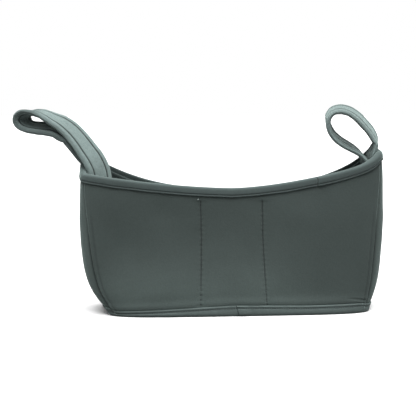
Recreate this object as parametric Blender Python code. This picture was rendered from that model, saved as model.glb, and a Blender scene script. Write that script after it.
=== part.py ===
"""Soft fabric stroller organizer: an open tote-like caddy with a loop strap at each end.

Metres, Z up, the front faces -Y and the flat base rests on z = 0.
Every wall layer is placed by wall_point(q, z, depth): q runs once round the body, z is the
height and depth is how far the layer lies inside the outer wall face.
"""

import math

import bpy
import numpy as np

# Body
BASE_HALF_LENGTH = 0.1652
BASE_HALF_DEPTH = 0.047
MOUTH_HALF_LENGTH = 0.192
MOUTH_HALF_DEPTH = 0.036
MOUTH_SHIFT = -0.0087
END_TUCK = 0.0035
FLARE = 5.7
TUMBLE = 1.7
TUCK = 10
MOUTH_WAIST = 0.33
CORNER = 5.0

# Rim heights: lowest point of each long wall, then the rise to its left and right end
FRONT_LOW = 0.1565
FRONT_RISE_LEFT = 0.020
FRONT_RISE_RIGHT = 0.0345
FRONT_SWEEP = 1.6
BACK_LOW = 0.1515
BACK_RISE_LEFT = 0.0475
BACK_RISE_RIGHT = 0.0445
BACK_SWEEP = 2.5
RIGHT_CURL = 0.013
CURL_SWEEP = 14

# End seams, as a share of the half length: least inset at the rim, most at SEAM_DIP_AT
SEAM_LOW = 0.93
SEAM_RISE = 0.055
SEAM_DIP_AT = 0.3
SEAM_SWEEP = 1.5

# Materials' thickness and the gap kept between neighbours
WALL = 0.0034
BASE = 0.0034
TAPE = 0.0012
GAP = 0.0003
SHEET = 0.0016

# Rim binding and base seam band
RIM_TAPE_HEIGHT = 0.0090
BASE_TAPE_LOW = 0.0006
BASE_TAPE_HIGH = 0.0108
BASE_TAPE_THICK = 0.0016
BASE_TAPE_FOLD = 0.0006

# Inner pocket sheet on the back wall, and the two dividers
POCKET_DROP = 0.0070
POCKET_STAND_OFF = 0.0024
POCKET_SWEEP = 1.5
POCKET_END = 0.955
DIVIDER_AT = ((-0.0470, -0.0465), (0.0355, 0.0310))
DIVIDER_DROP = 0.016
DIVIDER_SLACK = 0.003

# Straps
STRAP_WIDTH = 0.034
STRAP_THICK = 0.0066
STRAP_ROUND = 0.0022
LOOP_ROLL = 0.07
LOOP_SWING = 0.28
CORNER_DROP = 0.0016

FLOOR = BASE + GAP

# Steps round each long side and each end, rows up the walls, and the seam gap as a share of a side
LONG_STEPS = 28
END_STEPS = 10
WALL_ROWS = 13
STRAP_STEPS = 3
SEAM_MARGIN = 0.0012
CROWDING = 0.06

BODY_COLOUR = (0.060, 0.082, 0.078)
TAPE_COLOUR = (0.078, 0.104, 0.099)
SHEET_COLOUR = (0.050, 0.068, 0.065)
STRAP_COLOUR = (0.100, 0.135, 0.128)


def clear_scene():
    for obj in list(bpy.data.objects):
        bpy.data.objects.remove(obj, do_unlink=True)


def cloth(name, colour):
    material = bpy.data.materials.new(name)
    material.use_nodes = True
    shader = material.node_tree.nodes["Principled BSDF"]
    shader.inputs["Base Color"].default_value = (*colour, 1.0)
    shader.inputs["Roughness"].default_value = 0.85
    shader.inputs["Metallic"].default_value = 0.0
    return material


def add_object(name, points, faces, colour, smooth=True):
    mesh = bpy.data.meshes.new(name)
    mesh.from_pydata([tuple(p) for p in points], [], faces)
    mesh.validate()
    mesh.polygons.foreach_set("use_smooth", [smooth] * len(mesh.polygons))
    mesh.materials.append(cloth(name, colour))
    obj = bpy.data.objects.new(name, mesh)
    bpy.context.scene.collection.objects.link(obj)
    return obj


def mix(a, b, t):
    return a + (b - a) * t


def flare(v):
    """How far the outline has opened out at v, the share of the way from base to rim."""
    return 1 - (1 - v) ** FLARE


def half_length(v):
    """Half the length at v: it opens out from the base, and tucks in again just under the rim."""
    return mix(BASE_HALF_LENGTH, MOUTH_HALF_LENGTH, flare(v)) - END_TUCK * v**TUCK


def half_depth(v):
    return mix(BASE_HALF_DEPTH, MOUTH_HALF_DEPTH, v**TUMBLE)


def seam(v):
    return SEAM_LOW + SEAM_RISE * (abs(v - SEAM_DIP_AT) / (1 - SEAM_DIP_AT)) ** SEAM_SWEEP


def round_share(share):
    return (1 - abs(share) ** CORNER) ** (1 / CORNER)


def curl(u):
    """The extra lift of the rim close to the right end."""
    return RIGHT_CURL * max(0.0, u) ** CURL_SWEEP


def front_rim(u):
    rise = FRONT_RISE_LEFT if u < 0 else FRONT_RISE_RIGHT
    return FRONT_LOW + rise * abs(u) ** FRONT_SWEEP + curl(u)


def back_rim(u):
    rise = BACK_RISE_LEFT if u < 0 else BACK_RISE_RIGHT
    return BACK_LOW + rise * abs(u) ** BACK_SWEEP + curl(u)


def rim_height(q):
    """Height of the walls' top edge. q: 0-1 front, 1-2 right end, 2-3 back, 3-4 left end."""
    q %= 4
    end = seam(1)
    if q < 1:
        return front_rim(mix(-end, end, q))
    if q < 2:
        return mix(front_rim(end), back_rim(end), q - 1)
    if q < 3:
        return back_rim(mix(end, -end, q - 2))
    return mix(back_rim(-end), front_rim(-end), q - 3)


def outline(q, v):
    """Shares of the half length and of the half depth at q, on the rounded plan outline."""
    q %= 4
    end = seam(v)
    side = round_share(end)
    if q < 1:
        u = mix(-end, end, q)
        return u, -round_share(u)
    if q < 2:
        w = mix(-side, side, q - 1)
        return round_share(w), w
    if q < 3:
        u = mix(end, -end, q - 2)
        return u, round_share(u)
    w = mix(side, -side, q - 3)
    return -round_share(w), w


def wall_point(q, z, depth):
    v = min(1.0, max(0.0, (z - FLOOR) / (rim_height(q) - FLOOR)))
    u, w = outline(q, v)
    waist = 1 - MOUTH_WAIST * v * v * (1 - u * u)
    x = MOUTH_SHIFT * flare(v) + (half_length(v) - depth) * u
    y = w * (half_depth(v) * waist - depth)
    return (x, y, z)


def wall_y(back, x, z, depth):
    """Where the layer at this depth in the front or back wall crosses x at height z."""
    share = x / MOUTH_HALF_LENGTH
    for _ in range(8):
        q = 2.5 - share / 2 if back else 0.5 + share / 2
        px, py, _ = wall_point(q, z, depth)
        share += (x - px) / MOUTH_HALF_LENGTH
    return py


def spaced(count):
    """Shares 0 to 1, closer together at both ends, where the outline turns the corners."""
    steps = [math.cos(math.pi * mix(CROWDING, 1 - CROWDING, i / count)) for i in range(count + 1)]
    return [(steps[0] - step) / (steps[0] - steps[-1]) for step in steps]


def close_grid(columns, rows):
    """Faces of a slab stored as columns x rows outer points, then as many inner ones."""
    faces = []
    half = columns * rows

    def at(i, j, inner):
        return inner * half + i * rows + j

    for i in range(columns - 1):
        for j in range(rows - 1):
            faces.append((at(i, j, 0), at(i + 1, j, 0), at(i + 1, j + 1, 0), at(i, j + 1, 0)))
            faces.append((at(i, j, 1), at(i, j + 1, 1), at(i + 1, j + 1, 1), at(i + 1, j, 1)))
        last = rows - 1
        faces.append((at(i, 0, 0), at(i, 0, 1), at(i + 1, 0, 1), at(i + 1, 0, 0)))
        faces.append((at(i, last, 0), at(i + 1, last, 0), at(i + 1, last, 1), at(i, last, 1)))
    for j in range(rows - 1):
        last = columns - 1
        faces.append((at(0, j, 0), at(0, j + 1, 0), at(0, j + 1, 1), at(0, j, 1)))
        faces.append((at(last, j, 0), at(last, j, 1), at(last, j + 1, 1), at(last, j + 1, 0)))
    return faces


def side_stations(side):
    """Values of q along one side of the body, the same for every layer of it."""
    return [side + s for s in spaced(LONG_STEPS if side % 2 == 0 else END_STEPS)]


def ring_stations():
    return [q for side in range(4) for q in side_stations(side)[:-1]]


def add_wall(name, side, rows):
    """One wall panel of the body, from the base to the rim."""
    stations = side_stations(side)
    if side % 2 == 0:
        stations[0] += SEAM_MARGIN
        stations[-1] -= SEAM_MARGIN
    points = []
    for depth in (0.0, WALL):
        for q in stations:
            top = rim_height(q)
            points += [wall_point(q, mix(FLOOR, top, j / (rows - 1)), depth) for j in range(rows)]
    return add_object(name, points, close_grid(len(stations), rows), BODY_COLOUR)


def add_ring(name, profile, colour):
    """A closed tape round the body. profile(q) gives its section as (height, depth) pairs."""
    stations = ring_stations()
    points = []
    for q in stations:
        points += [wall_point(q, z, depth) for z, depth in profile(q)]
    n = len(profile(0))
    faces = []
    for i in range(len(stations)):
        k = (i + 1) % len(stations)
        for j in range(n):
            m = (j + 1) % n
            faces.append((i * n + j, k * n + j, k * n + m, i * n + m))
    return add_object(name, points, faces, colour)


def rim_tape(q):
    """The folded binding: a channel with a rounded top, open downwards over the wall edge."""
    top = rim_height(q)
    outer = -GAP - TAPE
    inner = WALL + GAP + TAPE
    fold = 0.35 * TAPE
    return [
        (top - RIM_TAPE_HEIGHT, outer),
        (top + GAP, outer),
        (top + GAP + TAPE - fold, outer + fold),
        (top + GAP + TAPE, outer + TAPE),
        (top + GAP + TAPE, inner - TAPE),
        (top + GAP + TAPE - fold, inner - fold),
        (top + GAP, inner),
        (top - RIM_TAPE_HEIGHT, inner),
        (top - RIM_TAPE_HEIGHT, inner - TAPE),
        (top + GAP, inner - TAPE),
        (top + GAP, outer + TAPE),
        (top - RIM_TAPE_HEIGHT, outer + TAPE),
    ]


def base_tape(q):
    """The seam band: a flat tape with its edges rounded over, round the foot of the walls."""
    outer = -GAP - BASE_TAPE_THICK
    return [
        (BASE_TAPE_LOW, -GAP),
        (BASE_TAPE_LOW, outer + BASE_TAPE_FOLD),
        (BASE_TAPE_LOW + BASE_TAPE_FOLD, outer),
        (BASE_TAPE_HIGH - BASE_TAPE_FOLD, outer),
        (BASE_TAPE_HIGH, outer + BASE_TAPE_FOLD),
        (BASE_TAPE_HIGH, -GAP),
    ]


def add_base():
    stations = ring_stations()
    n = len(stations)
    points = [wall_point(q, FLOOR, 0.0)[:2] + (0.0,) for q in stations]
    points += [wall_point(q, FLOOR, 0.0)[:2] + (BASE,) for q in stations]
    faces = [tuple(reversed(range(n))), tuple(range(n, 2 * n))]
    for i in range(n):
        k = (i + 1) % n
        faces.append((i, k, n + k, n + i))
    return add_object("base_panel", points, faces, BODY_COLOUR, smooth=False)


def add_pocket(columns, rows):
    """The inner sheet along the back wall, standing off it towards the top."""
    points = []
    margin = (1 - POCKET_END) / 2
    for layer in (0.0, SHEET):
        for s in spaced(columns - 1):
            q = 2 + mix(margin, 1 - margin, s)
            rim = rim_height(q)
            for j in range(rows):
                v = j / (rows - 1)
                z = mix(FLOOR + GAP, rim - POCKET_DROP, v)
                depth = WALL + GAP + POCKET_STAND_OFF * v**POCKET_SWEEP + layer
                points.append(wall_point(q, z, depth))
    return add_object("inner_pocket", points, close_grid(columns, rows), SHEET_COLOUR)


def pocket_face(x, z):
    """y of the pocket sheet's inner face, where a divider meets it."""
    rim = back_rim(x / MOUTH_HALF_LENGTH)
    v = (z - FLOOR) / (rim - POCKET_DROP - FLOOR)
    return wall_y(True, x, z, WALL + GAP + POCKET_STAND_OFF * v**POCKET_SWEEP + SHEET)


def add_divider(name, foot_x, head_x, columns, rows):
    points = []
    top = FRONT_LOW - DIVIDER_DROP
    clearance = 2 * GAP
    for side in (-0.5, 0.5):
        for i in range(columns):
            for j in range(rows):
                t = j / (rows - 1)
                z = mix(FLOOR + GAP, top, t)
                x = mix(foot_x, head_x, t)
                near = wall_y(False, x, z, WALL) + clearance
                far = pocket_face(x, z) - clearance
                s = i / (columns - 1)
                slack = DIVIDER_SLACK * t * math.sin(2 * math.pi * s)
                points.append((x + slack - side * SHEET, mix(near, far, s), z))
    return add_object(name, points, close_grid(columns, rows), SHEET_COLOUR)


def curve(knots, per_span):
    """Points on the smooth curve through the knots, arrays of any width."""
    knots = np.array(knots, float)
    ends = np.vstack([2 * knots[0] - knots[1], knots, 2 * knots[-1] - knots[-2]])
    found = []
    for i in range(len(knots) - 1):
        a, b, c, d = ends[i : i + 4]
        for k in range(per_span):
            t = k / per_span
            found.append(
                0.5 * (2 * b + (c - a) * t + (2 * a - 5 * b + 4 * c - d) * t * t
                       + (3 * b - a - 3 * c + d) * t**3)
            )
    found.append(knots[-1])
    return np.array(found)


def strap_section():
    """The strap's rounded section, as (across, through) pairs."""
    w, h, r = STRAP_WIDTH / 2, STRAP_THICK / 2, STRAP_ROUND
    k = r * (1 - math.sqrt(0.5))
    quarter = [(w, h - r), (w - k, h - k), (w - r, h)]
    section = quarter + [(-x, z) for x, z in reversed(quarter)]
    return section + [(x, -z) for x, z in reversed(section)]


def add_strap(name, knots, per_span):
    """knots: centre x, y, z and the width direction x, y, z at each."""
    path = curve(knots, per_span)
    centre, across = path[:, :3], path[:, 3:]
    along = np.gradient(centre, axis=0)
    along /= np.linalg.norm(along, axis=1)[:, None]
    across = across - (across * along).sum(axis=1)[:, None] * along
    across /= np.linalg.norm(across, axis=1)[:, None]
    through = np.cross(along, across)
    section = strap_section()
    n = len(section)
    points = []
    for c, a, t in zip(centre, across, through):
        points += [c + a * x + t * z for x, z in section]
    last = (len(centre) - 1) * n
    faces = [tuple(reversed(range(n))), tuple(last + j for j in range(n))]
    for i in range(len(centre) - 1):
        for j in range(n):
            m = (j + 1) % n
            faces.append((i * n + j, i * n + m, (i + 1) * n + m, (i + 1) * n + j))
    return add_object(name, points, faces, STRAP_COLOUR)


def right_strap_knots():
    """An open drop-shaped loop, both ends lying inside the right end of the body."""
    end = MOUTH_SHIFT + half_length(1)
    outer_leg = -(WALL + GAP + TAPE + GAP + CORNER_DROP + STRAP_THICK / 2)
    inner_leg = outer_leg - STRAP_THICK - GAP
    # From the end's outer face at the rim: x, height z, and the share of the loop's turn
    path = [
        (outer_leg, 0.1600, 0.0),
        (outer_leg, 0.1800, 0.0),
        (outer_leg, 0.1985, 0.0),
        (-0.0086, 0.2080, 0.00),
        (-0.0060, 0.2140, 0.28),
        (-0.0068, 0.2205, 0.65),
        (-0.0104, 0.2275, 0.90),
        (-0.0163, 0.2350, 1.0),
        (-0.0242, 0.2422, 1.0),
        (-0.0324, 0.2483, 1.0),
        (-0.0405, 0.2518, 1.0),
        (-0.0487, 0.2528, 1.0),
        (-0.0560, 0.2505, 1.0),
        (-0.0612, 0.2436, 1.0),
        (-0.0618, 0.2350, 1.0),
        (-0.0591, 0.2264, 1.0),
        (-0.0528, 0.2182, 1.0),
        (-0.0442, 0.2114, 0.85),
        (-0.0348, 0.2059, 0.65),
        (-0.0265, 0.2008, 0.40),
        (-0.0205, 0.1955, 0.20),
        (inner_leg, 0.1830, 0.0),
        (inner_leg, 0.1600, 0.0),
    ]
    return [(end + x, 0.0, z, LOOP_SWING * turn, 1.0, LOOP_ROLL * turn) for x, z, turn in path]


def behind(knot, along, slide):
    """The knot of a leg that lies flat against the back of another, moved along its width by slide."""
    x, y, z, *across = knot
    normal = np.cross(along, across)
    normal *= (STRAP_THICK + GAP) / np.linalg.norm(normal)
    shift = normal + np.array(across) * slide
    return (x + shift[0], y + shift[1], z + shift[2], *across)


def left_strap_knots():
    """A flattened, twisted loop that leans out over the left end, both ends inside it."""
    end = MOUTH_SHIFT - half_length(1)
    # Centre from the end's outer face at the rim, then the width direction
    front_leg = [
        (0.0226, -0.0062, 0.1500, 0.86, 0.51, 0.00),
        (0.0226, -0.0062, 0.1660, 0.86, 0.51, 0.00),
        (0.0224, -0.0062, 0.1780, 0.86, 0.51, 0.03),
        (0.0210, -0.0060, 0.1868, 0.82, 0.54, 0.16),
        (0.0140, -0.0050, 0.1966, 0.70, 0.62, 0.35),
        (0.0042, -0.0030, 0.2078, 0.60, 0.68, 0.40),
        (-0.0082, -0.0010, 0.2220, 0.48, 0.76, 0.42),
        (-0.0221, 0.0000, 0.2336, 0.37, 0.83, 0.40),
    ]
    # The way each of those knots runs, and how far the back leg slides inwards there
    runs = [
        ((0.00, 0, 1.00), 0.0040),
        ((0.00, 0, 1.00), 0.0040),
        ((-0.05, 0, 1.00), 0.0040),
        ((-0.30, 0, 0.95), 0.0050),
        ((-0.60, 0, 0.80), 0.0045),
        ((-0.64, 0, 0.77), 0.0015),
        ((-0.72, 0, 0.70), 0.0000),
        ((-0.80, 0, 0.60), 0.0000),
    ]
    bight = [
        (-0.0390, 0.0000, 0.2436, 0.25, 0.93, 0.24),
        (-0.0560, 0.0000, 0.2496, 0.20, 0.97, 0.05),
        (-0.0672, 0.0000, 0.2489, 0.36, 0.93, -0.06),
        (-0.0734, 0.0000, 0.2440, 0.50, 0.86, 0.00),
        (-0.0712, 0.0000, 0.2378, 0.48, 0.87, 0.04),
        (-0.0640, 0.0000, 0.2335, 0.40, 0.91, 0.10),
        (-0.0528, 0.0008, 0.2308, 0.30, 0.93, 0.16),
        (-0.0400, 0.0025, 0.2289, 0.32, 0.90, 0.28),
    ]
    back_leg = [behind(knot, way, slide) for knot, (way, slide) in zip(front_leg, runs)]
    path = front_leg + bight + back_leg[::-1]
    return [(end + x, *rest) for x, *rest in path]


def main():
    clear_scene()
    for side, name in enumerate(("front_panel", "right_end", "back_panel", "left_end")):
        add_wall(name, side, WALL_ROWS)
    add_base()
    add_ring("rim_binding", rim_tape, TAPE_COLOUR)
    add_ring("base_band", base_tape, TAPE_COLOUR)
    add_pocket(21, 7)
    for name, (foot_x, head_x) in zip(("left_divider", "right_divider"), DIVIDER_AT):
        add_divider(name, foot_x, head_x, 5, 7)
    add_strap("left_strap", left_strap_knots(), STRAP_STEPS)
    add_strap("right_strap", right_strap_knots(), STRAP_STEPS)


main()
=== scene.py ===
"""Looks of the stroller organizer: foam-cored knit cloth, bound edges, sewn lines, two strap loops.

Lengths are in metres, Z is up and the front faces -Y. The body's sizes repeat those of the CAD model.
Each piece stands for a soft node of that model or is sewn to one. A layer of the walls is placed by
wall(q, z, depth): q runs once round the body (0-1 front, 1-2 right end, 2-3 back, 3-4 left end), z is
the height and depth is measured inwards from the outer face. u is a place along a long side, -1 to 1,
and v is a share of the wall's height.
"""

import math

import bpy
import numpy as np
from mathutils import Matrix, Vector, noise


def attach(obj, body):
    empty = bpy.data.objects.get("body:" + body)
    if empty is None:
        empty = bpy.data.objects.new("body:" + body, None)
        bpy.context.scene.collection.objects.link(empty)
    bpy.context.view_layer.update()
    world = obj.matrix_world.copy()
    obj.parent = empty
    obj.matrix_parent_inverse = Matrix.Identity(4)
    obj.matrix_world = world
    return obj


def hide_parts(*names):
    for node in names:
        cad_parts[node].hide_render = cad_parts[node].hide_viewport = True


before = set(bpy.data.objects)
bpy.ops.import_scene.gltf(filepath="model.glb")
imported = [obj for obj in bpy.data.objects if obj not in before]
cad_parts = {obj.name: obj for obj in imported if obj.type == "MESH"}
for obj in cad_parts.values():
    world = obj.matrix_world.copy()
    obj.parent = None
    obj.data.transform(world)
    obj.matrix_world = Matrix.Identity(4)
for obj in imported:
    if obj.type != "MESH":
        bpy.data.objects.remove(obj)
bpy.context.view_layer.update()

# Body, as in the CAD model
BASE_HALF_LENGTH = 0.1652
BASE_HALF_DEPTH = 0.047
MOUTH_HALF_LENGTH = 0.192
MOUTH_HALF_DEPTH = 0.036
MOUTH_SHIFT = -0.0087
END_TUCK = 0.0035
FLARE = 5.7
TUMBLE = 1.7
TUCK = 10
MOUTH_WAIST = 0.33
CORNER = 5.0
FRONT_LOW = 0.1565
FRONT_RISE_LEFT = 0.020
FRONT_RISE_RIGHT = 0.0345
FRONT_SWEEP = 1.6
BACK_LOW = 0.1515
BACK_RISE_LEFT = 0.0475
BACK_RISE_RIGHT = 0.0445
BACK_SWEEP = 2.5
RIGHT_CURL = 0.013
CURL_SWEEP = 14
SEAM_LOW = 0.93
SEAM_RISE = 0.055
SEAM_DIP_AT = 0.3
SEAM_SWEEP = 1.5

# Blender's noise mostly stays within 0.6 of 0, and this brings that to about 1
NOISE_GAIN = 1.6

# Steps in q and in z over which a wall's direction is measured
STEP_Q = 0.002
STEP_Z = 0.0015

# Thickness of the materials and the gap between neighbours
WALL = 0.0034
BASE = 0.0034
TAPE = 0.0012
GAP = 0.0003
SHEET = 0.0016
THINNEST = 0.0006
WALL_TOP_OVER = 0.0001
FLOOR = BASE + GAP

# Inner pocket, dividers and straps
POCKET_DROP = 0.0070
POCKET_STAND_OFF = 0.0024
POCKET_SWEEP = 1.5
POCKET_END = 0.955
# The front's stitch lines, each as x at its foot and at its head. The photograph has them about 4 mm
# further left than the solids.
DIVIDER_AT = ((-0.0512, -0.0505), (0.0318, 0.0272))
DIVIDER_DROP = 0.016
DIVIDER_SLACK = 0.003
STRAP_WIDTH = 0.034
STRAP_THICK = 0.0066
STRAP_STEP = 0.0012
# Share of the left strap's length from which both its faces are painted darker, as painted shade where
# it lies in its own shadow
LEFT_SHADED_FROM = 0.41
LOOP_ROLL = 0.21
LOOP_SWING = 0.20
CORNER_DROP = 0.0016

# Sewing
STITCH_PITCH = 0.0030
STITCH_LENGTH = 0.0023
THREAD_RADIUS = 0.00022
SEAM_ALLOWANCE = 0.0056
RIM_COVER = 0.009
UNDER_RIM = 0.0098
STRAP_STITCH_INSET = 0.0076
STRAP_STITCH_ASIDE = STRAP_WIDTH / 2 - STRAP_STITCH_INSET
STRAP_ROUND = 0.0030
STRAP_CROWN = 0.0003
STRAP_GROOVE = 0.0014
GROOVE_WIDTH = 0.00085
# Half widths of the painted shade along the straps' stitched grooves
LEFT_LINE_WIDTH = 1.2 * GROOVE_WIDTH
RIGHT_LINE_WIDTH = 2.0 * GROOVE_WIDTH
RIM_STITCH_DROP = 0.0073
BAND_STITCH_DROP = 0.0030
SEWN_POINTS = 1200

# Depth of the thread on the rim's outside and inside, and on the seam band
RIM_THREAD = -0.0010
LINING_THREAD = 0.0044
BAND_THREAD = -0.0020

# The knot at the top of the left stitch line
KNOT_HEIGHT = 0.1440
KNOT_ASIDE = 0.0030

# Where the tapes' ends overlap on the front, as (x, z)
RIM_JOINT = (0.0958, 0.165)
BAND_JOINT = (-0.0050, 0.008)
JOINT_RISE = 0.00095
JOINT_NOTCH = (0.0007, 0.0005)
JOINT_SHADOW_BEFORE = 0.0003
JOINT_SHADOW_WIDTH = 0.0005
RIM_JOINT_LENGTH = 0.020
BAND_JOINT_LENGTH = 0.018

# One stitch: stations as shares of its length, rise and girth there in thread radii
STITCH_STATIONS = (0.0, 0.18, 0.5, 0.82, 1.0)
STITCH_RISE = (-0.54, 0.21, 0.6, 0.21, -0.54)
STITCH_GIRTH = (0.45, 0.95, 1.0, 0.95, 0.45)
THREAD_SIDES = 6

# Random folds and puckers, each as (height, wavelength, seed)
FRONT_FOLDS = (0.0019, 0.090, 1.7)
FRONT_WRINKLES = (0.0006, 0.034, 4.1)
BACK_FOLDS = (0.0015, 0.08, 8.2)
BACK_WRINKLES = (0.0005, 0.028, 9.4)
END_FOLDS = (0.0012, 0.055, 2.9)
END_WRINKLES = (0.0003, 0.02, 5.5)
SEAM_PUCKER = (0.00022, 0.0065, 7.3)
BASE_QUILT = (0.0005, 0.045, 3.3)
RIM_PUCKER = (0.00016, 0.0042, 3.1)
RIM_SWELL = (0.00022, 0.016, 6.2)
RIM_WANDER = (0.00035, 0.030, 9.9)
BAND_PUCKER = (0.00018, 0.006, 1.1)
BAND_SWELL = (0.00025, 0.022, 2.2)
POCKET_FOLDS = (0.0009, 0.06, 4.4)

# The same for the straps, whose seeds differ
STRAP_CRINKLE = (0.00012, 0.0055)
STRAP_BUCKLE = (0.00022, 0.018)

# Heights between which the folds of each wall grow and fade, and the calm strip beside its seams
FOLDS_GROW = (0.0, 0.03)
FRONT_FOLDS_FADE = (0.120, 0.160)
BACK_FOLDS_FADE = (0.120, 0.155)
END_FOLDS_FADE = (0.12, 0.17)
LONG_SIDE_CALM = (0.0, 0.035)
END_CALM = (0.0, 0.02)

# Hollow of the front above its foot, with the x between which it grows shallower
HOLLOW = 0.0062
HOLLOW_GROWS = (0.008, 0.085)
HOLLOW_FADES = (0.085, 0.155)
HOLLOW_SHALLOW_X = (0.02, 0.09)

# Ridges and grooves along a line, each as (height, half width)
SEAM_VALLEY = (0.0013, 0.0011)
ALLOWANCE_GROOVE = (0.0006, 0.0008)
ALLOWANCE_SWELL = (0.0004, 0.0018)
LINE_GROOVE = (0.0008, 0.0009)
LINE_HOLLOW = (0.0009, 0.008)
OVER_BAND_SWELL = (0.0012, 0.0055)
FOOT_CREASE = (0.0009, 0.0014)

# Foot of the walls: steps in under the seam band, the swell over it and the crease at the right
UNDER_BAND = 0.0012
UNDER_FRONT_BAND = 0.0014
OVER_BAND_AT = 0.0035
FOOT_CREASE_END = (0.160, 0.004)
FOOT_CREASE_SLOPE = 0.10
FOOT_CREASE_X = (0.128, 0.148)

# Heights between which the front's stitch lines and the sewn allowances start and end
LINE_STARTS = (0.010, 0.014)
LINE_ENDS = (0.140, 0.1445)
ALLOWANCE_ENDS = (0.110, 0.140)
LINE_STITCHES = (0.0145, 0.1425)
SEAM_STITCHES = (0.0145, 0.125)

# Heights between which the end seams grow shallower, and their shade paler
SEAMS_FADE = (0.09, 0.145)
SEAM_SHADES_FADE = (0.085, 0.135)

# A ripple along each stitch line
LINE_RIPPLE = 0.00018
LINE_RIPPLE_PITCH = 0.0061
LINE_RIPPLE_WIDTH = 0.0035

# Height of the seam band's top edge along the front, as (x, z)
BAND_EDGE = (
    (-0.165, 0.0062), (-0.130, 0.0078), (-0.085, 0.0098), (-0.005, 0.0136),
    (0.080, 0.0120), (0.145, 0.0126), (0.165, 0.0108),
)
BAND_TOP = 0.0108

# Colours, in linear light
BODY = (0.0440, 0.0580, 0.0545)
TAPE_COLOUR = (0.046, 0.062, 0.060)
# The seam band's colour is set lighter than its own tone, as painted light
BAND_COLOUR = (0.086, 0.112, 0.107)
LINING = (0.066, 0.087, 0.083)
STRAP = (0.216, 0.279, 0.270)
THREAD = (0.012, 0.017, 0.017)
KNOT = (0.42, 0.50, 0.47)

# How far each mark on a piece's points changes the tone of its cloth, as a share. The first paints
# shade along grooves, seams and stitch lines, in part their darker cloth and thread, and a painted
# shadow below the rim binding and at the tapes' joints; the second paints shade on the straps; the
# third paints light.
MARK_TONES = (("crease", -0.92), ("painted_shade", -0.58), ("painted_light", 0.45))

# Painted shade along lines of the walls and the rim, in part the darker cloth of seams and stitch
# lines, each as (darkness, half width)
SEAM_SHADE = (0.85, 0.0009)
ALLOWANCE_SHADE = (0.45, 0.0007)
UNDER_RIM_SHADE = (0.3, 0.0009)
LINE_SHADE = (0.85, 0.00075)
RIM_STITCH_SHADE = (0.75, 0.0006)

# Painted light at the foot of the front, on its left and a little all over, and random pale patches:
# shares, and the stretches of z or x where they change
PAINTED_LIGHT_ALL_OVER = 0.03
PAINTED_LIGHT_AT_FOOT = 1.05
PAINTED_LIGHT_ON_LEFT = 0.16
PALE_PATCHES = (0.16, 0.11, 3.3)
PAINTED_LIGHT_FOOT_Z = (0.018, 0.082)
PAINTED_LIGHT_FOOT_X = (0.03, 0.11)
PAINTED_LIGHT_LEFT_X = (-0.09, 0.05)
PALE_PATCH_Z = (0.02, 0.06)
PAINTED_LIGHT_MOST = 1.2

# Knits, as the pitch of their loops across and along the cloth
FOAM_KNIT = (0.0011, 0.0013)
TAPE_KNIT = (0.0008, 0.0009)
LINING_KNIT = (0.0009, 0.0009)
STRAP_KNIT = (0.0012, 0.0010)
KNIT_SLANT = 1.9
KNIT_DEPTH = 0.6
SHEEN_TINT = (0.72, 0.90, 0.86, 1.0)

# Details in the cloth, in features a metre
MOTTLE_SCALE = 22.0
FLECK_SCALE = 420.0
FIBRE_SCALE = 2600.0
STRAND_SCALE = 5200.0

# Lamps, as strength and turn in degrees
TOP_SUN = (5.6, (12.0, 0.0, 0.0))
FRONT_SUN = (0.45, (50.0, 0.0, -25.0))
BACK_SUN = (0.45, (-50.0, 0.0, 0.0))
SUN_ANGLE = 60.0

# Light: ambient, the floor as the camera sees it, and what it throws back
AMBIENT = 0.16
FLOOR_SEEN = 0.95
FLOOR_BOUNCE = 0.16
FLOOR_REACH = 6.0

# Camera, as fitted to the photograph
AZIMUTH = math.radians(-4.0)
ELEVATION = math.radians(7.5)
DISTANCE = 1.3
LENS = 88.3
TARGET = (-0.0387, 0.0007, 0.1301)


def mix(a, b, t):
    return a + (b - a) * t


def smooth(low, high, value):
    t = np.clip((value - low) / (high - low), 0, 1)
    return t * t * (3 - 2 * t)


def between(value, grows, fades):
    """0 to 1 over the stretch grows, and back to 0 over the stretch fades."""
    return smooth(*grows, value) * (1 - smooth(*fades, value))


def bell(distance, width):
    return np.exp(-((distance / width) ** 2))


def ridge(form, distance):
    """A ridge with form (height, half width), at distance from its line."""
    height, width = form
    return height * bell(distance, width)


def waves(form, a, b=0.0):
    """A smooth random field over lengths a and b, with form (height, wavelength, seed)."""
    height, wavelength, seed = form
    a, b = np.broadcast_arrays(a, b)
    flat = zip(a.ravel() / wavelength, b.ravel() / wavelength)
    found = [noise.noise(Vector((x, y, seed))) for x, y in flat]
    return np.array(found).reshape(a.shape) * NOISE_GAIN * height


# Shape of the body


def flare(v):
    return 1 - (1 - v) ** FLARE


def half_length(v):
    return mix(BASE_HALF_LENGTH, MOUTH_HALF_LENGTH, flare(v)) - END_TUCK * v**TUCK


def half_depth(v):
    return mix(BASE_HALF_DEPTH, MOUTH_HALF_DEPTH, v**TUMBLE)


def seam(v):
    return SEAM_LOW + SEAM_RISE * (abs(v - SEAM_DIP_AT) / (1 - SEAM_DIP_AT)) ** SEAM_SWEEP


def round_share(share):
    return np.maximum(0.0, 1 - np.abs(share) ** CORNER) ** (1 / CORNER)


def curl(u):
    return RIGHT_CURL * np.maximum(0.0, u) ** CURL_SWEEP


def front_rim(u):
    rise = np.where(u < 0, FRONT_RISE_LEFT, FRONT_RISE_RIGHT)
    return FRONT_LOW + rise * np.abs(u) ** FRONT_SWEEP + curl(u)


def back_rim(u):
    rise = np.where(u < 0, BACK_RISE_LEFT, BACK_RISE_RIGHT)
    return BACK_LOW + rise * np.abs(u) ** BACK_SWEEP + curl(u)


def side_of(q):
    """Which side q lies on, and its share of the way along that side."""
    whole = np.floor(q)
    return whole.astype(int) % 4, q - whole


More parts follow.
